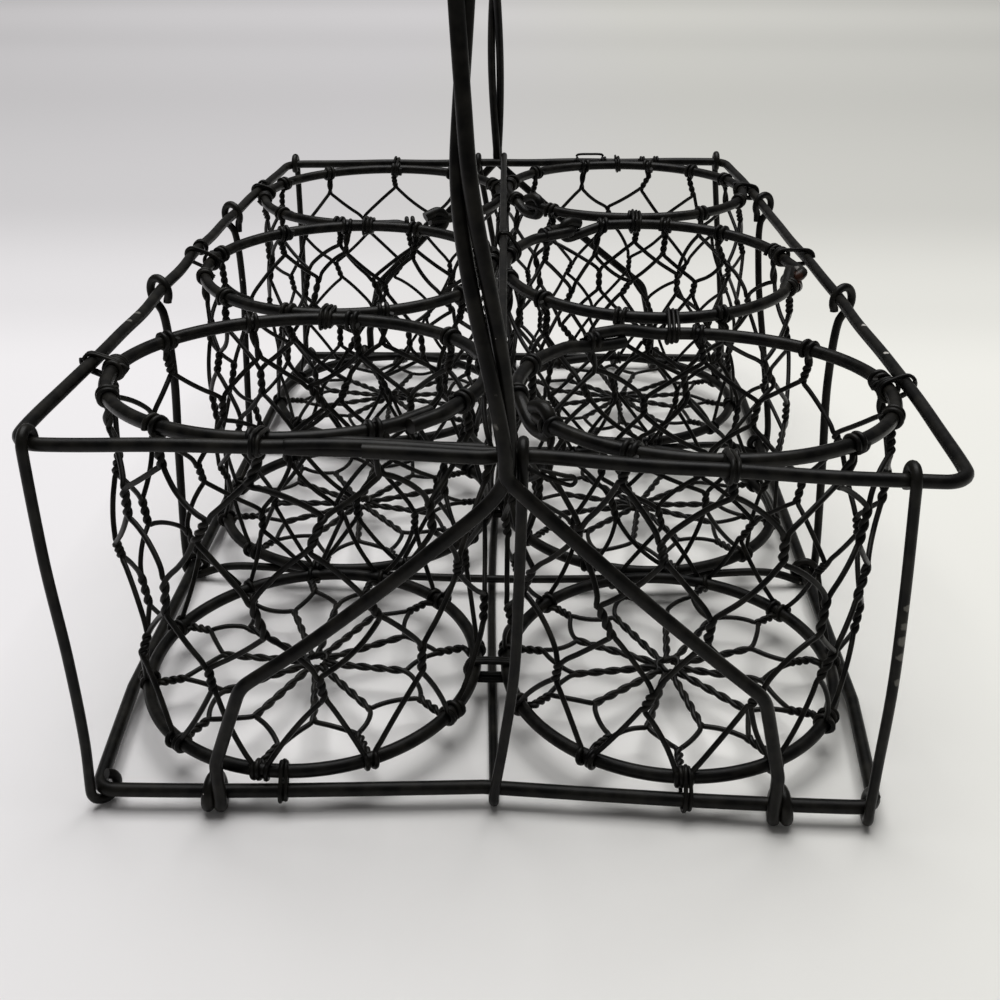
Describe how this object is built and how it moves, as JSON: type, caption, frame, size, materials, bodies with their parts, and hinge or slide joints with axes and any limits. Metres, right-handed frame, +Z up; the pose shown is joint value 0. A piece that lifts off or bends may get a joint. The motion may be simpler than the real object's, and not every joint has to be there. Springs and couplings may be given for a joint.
{
  "type": "wire plant caddy",
  "caption": "Hand-made black wire carrier with a twisted wire arch handle and rows of round chicken-wire cups for small plant pots.",
  "frame": {"origin": "centre of the bounding box at the level of the lowest wire", "axes": "+Z up, +Y to the rear along the rows of cups, +X to the right as seen from the front"},
  "size_m": [0.214, 0.3178, 0.2898],
  "materials": {
    "frame_wire": "satin black paint with small chips",
    "handle_wire": "satin black paint with small chips",
    "ring_wire": "satin black paint with a little rust at the joints",
    "net_wire": "matt black paint over twisted netting wire",
    "tie_wire": "matt black paint over soft binding wire"
  },
  "bodies": {
    "root": {"bottom_frame": "frame_wire", "cradle_front": "frame_wire", "cradle_long": "frame_wire", "cradle_rear": "frame_wire", "cup_base_ring_front_left": "ring_wire", "cup_base_ring_front_right": "ring_wire", "cup_base_ring_middle_left": "ring_wire", "cup_base_ring_middle_right": "ring_wire", "cup_base_ring_rear_left": "ring_wire", "cup_base_ring_rear_right": "ring_wire", "cup_floor_net_front_left": "net_wire", "cup_floor_net_front_right": "net_wire", "cup_floor_net_middle_left": "net_wire", "cup_floor_net_middle_right": "net_wire", "cup_floor_net_rear_left": "net_wire", "cup_floor_net_rear_right": "net_wire", "cup_ring_front_left": "ring_wire", "cup_ring_front_right": "ring_wire", "cup_ring_middle_left": "ring_wire", "cup_ring_middle_right": "ring_wire", "cup_ring_rear_left": "ring_wire", "cup_ring_rear_right": "ring_wire", "cup_wall_net_front_left": "net_wire", "cup_wall_net_front_right": "net_wire", "cup_wall_net_middle_left": "net_wire", "cup_wall_net_middle_right": "net_wire", "cup_wall_net_rear_left": "net_wire", "cup_wall_net_rear_right": "net_wire", "handle_strand_left": "handle_wire", "handle_strand_right": "handle_wire", "post_front_left": "frame_wire", "post_front_right": "frame_wire", "post_rear_left": "frame_wire", "post_rear_right": "frame_wire", "tie_base_front_left": "tie_wire", "tie_base_front_right": "tie_wire", "tie_base_rear_left": "tie_wire", "tie_base_rear_right": "tie_wire", "tie_centre_middle": "tie_wire", "tie_end_front_left": "tie_wire", "tie_end_front_right": "tie_wire", "tie_end_rear_left": "tie_wire", "tie_end_rear_right": "tie_wire", "tie_floor_front": "tie_wire", "tie_floor_middle": "tie_wire", "tie_floor_rear": "tie_wire", "tie_rings_front_left": "tie_wire", "tie_rings_front_right": "tie_wire", "tie_rings_middle_left": "tie_wire", "tie_rings_middle_right": "tie_wire", "tie_side_front_left": "tie_wire", "tie_side_front_right": "tie_wire", "tie_side_middle_left": "tie_wire", "tie_side_middle_right": "tie_wire", "tie_side_rear_left": "tie_wire", "tie_side_rear_right": "tie_wire", "top_centre_wire": "frame_wire", "top_frame": "frame_wire"}
  },
  "joints": []
}
